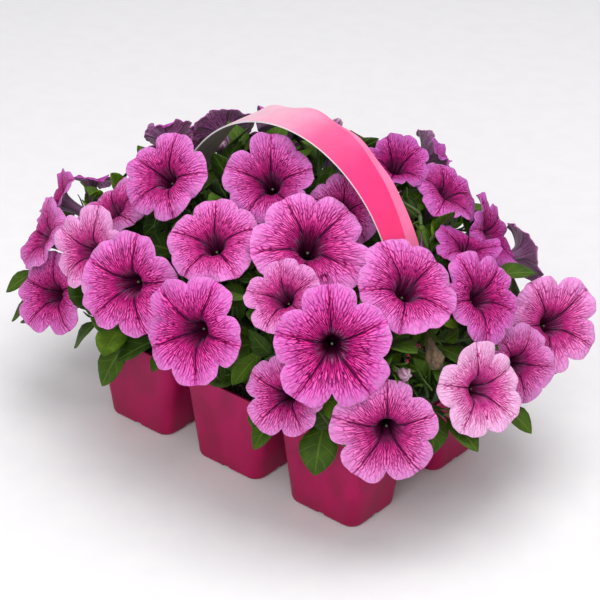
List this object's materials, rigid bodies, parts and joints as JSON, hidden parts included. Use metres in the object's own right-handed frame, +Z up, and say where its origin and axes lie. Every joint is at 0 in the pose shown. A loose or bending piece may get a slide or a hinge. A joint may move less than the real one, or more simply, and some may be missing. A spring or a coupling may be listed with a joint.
{
  "type": "flowering petunias in a nursery cell pack",
  "caption": "Flowering petunias growing in a thermoformed nursery cell pack with a strip carry handle, for a garden shop shelf, bench, balcony or patio.",
  "frame": {"origin": "on the surface the pack stands on, under the middle of the whole outline, flowers included", "axes": "+X along the pack's three-cell side, which is also the handle's span, +Y towards the back row of cells, +Z up"},
  "size_m": [0.312, 0.223, 0.1884],
  "materials": {
    "pack_plastic": "satin",
    "handle_strip": "satin",
    "potting_mix": "matte",
    "greenery": "satin",
    "petals": "matte"
  },
  "bodies": {
    "root": {"six_cell_pack": "pack_plastic", "carry_handle": "handle_strip", "mix_front_left": "potting_mix", "mix_front_middle": "potting_mix", "mix_front_right": "potting_mix", "mix_back_left": "potting_mix", "mix_back_middle": "potting_mix", "mix_back_right": "potting_mix", "plant_front_left": "greenery", "plant_front_middle": "greenery", "plant_front_right": "greenery", "plant_back_left": "greenery", "plant_back_middle": "greenery", "plant_back_right": "greenery", "flower_front_left": "petals", "flower_left_end_low": "petals", "flower_left_pale": "petals", "flower_left_end_mid": "petals", "flower_left_shoulder": "petals", "flower_left_end_high": "petals", "flower_left_crest_back": "petals", "flower_upper_left": "petals", "flower_upper_left_back": "petals", "flower_crest_back_left": "petals", "flower_centre_left": "petals", "flower_crown": "petals", "flower_centre_high": "petals", "flower_centre_high_rear": "petals", "flower_centre_front": "petals", "flower_front_middle": "petals", "flower_front_small": "petals", "flower_front_right_low": "petals", "flower_right_high": "petals", "flower_right_pale": "petals", "flower_right_end": "petals", "flower_right_middle": "petals", "flower_right_low_rear": "petals", "flower_centre_small": "petals", "flower_crest_right": "petals", "flower_crest_right_back": "petals", "flower_right_shoulder": "petals", "flower_right_shoulder_low": "petals", "flower_right_back_upper": "petals", "flower_right_edge_on": "petals", "flower_crest_back_right": "petals", "flower_back_right": "petals", "flower_back_right_low": "petals", "flower_back_middle": "petals", "flower_back_middle_low": "petals", "flower_back_left": "petals", "flower_back_left_low": "petals", "flower_left_back_low": "petals", "flower_left_back_mid": "petals", "flower_left_end_back": "petals"}
  },
  "joints": []
}
